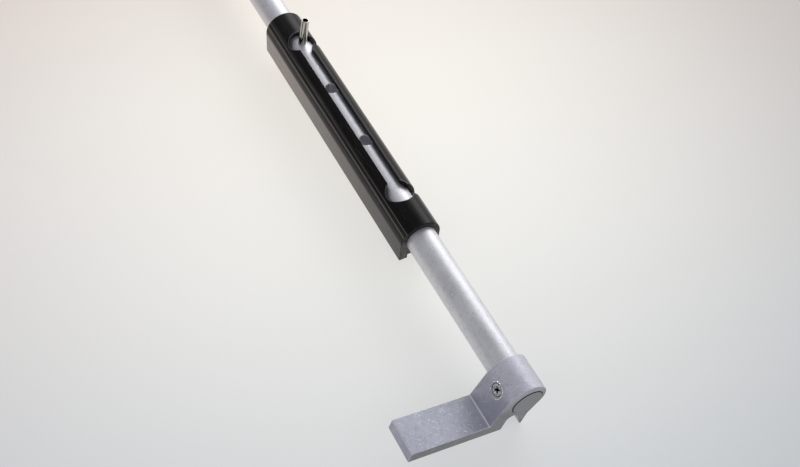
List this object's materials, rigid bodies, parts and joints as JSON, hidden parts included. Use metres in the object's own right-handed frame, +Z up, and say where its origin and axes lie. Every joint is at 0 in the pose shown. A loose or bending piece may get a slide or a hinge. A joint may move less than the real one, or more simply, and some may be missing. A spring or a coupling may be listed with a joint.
{
  "type": "turn-lock sliding rod",
  "caption": "Round bar sliding in a slotted steel guide sleeve, with a cross pin that turns into a locking side slot at either end and a clamped lever foot.",
  "frame": {"origin": "middle of the sleeve's length, centred in the mouth of the channel in its base, in the plane of the base", "axes": "+X along the rod, towards the foot; +Z up, out of the sleeve's base towards its slot; +Y to the side that the cross-slots open to, away from the foot's flange"},
  "size_m": [0.5064, 0.0889, 0.0558],
  "materials": {
    "blackened_sleeve": "satin black, faint lengthwise lines",
    "bar_steel": "satin, turned and lightly scuffed",
    "pin_steel": "bright",
    "foot_steel": "matt grey, fine speckle and scratches",
    "screw_steel": "bright, socket dark",
    "cap_plastic": "soft matt"
  },
  "bodies": {
    "sleeve": {"guide_sleeve": "blackened_sleeve"},
    "slider": {"rod_end_cap": "cap_plastic"},
    "rod": {"slide_rod": "bar_steel", "spring_pin": "pin_steel", "lever_foot": "foot_steel", "foot_screw": "screw_steel"}
  },
  "joints": [
    {"name": "rod_slide", "type": "slide", "parent": "sleeve", "child": "slider", "axis": [1, 0, 0], "range_m": [0, 0.146]},
    {"name": "rod_turn", "type": "hinge", "parent": "slider", "child": "rod", "pos_m": [0, 0, 0.0161], "axis": [-1, 0, 0], "range_deg": [-31, 73]}
  ]
}
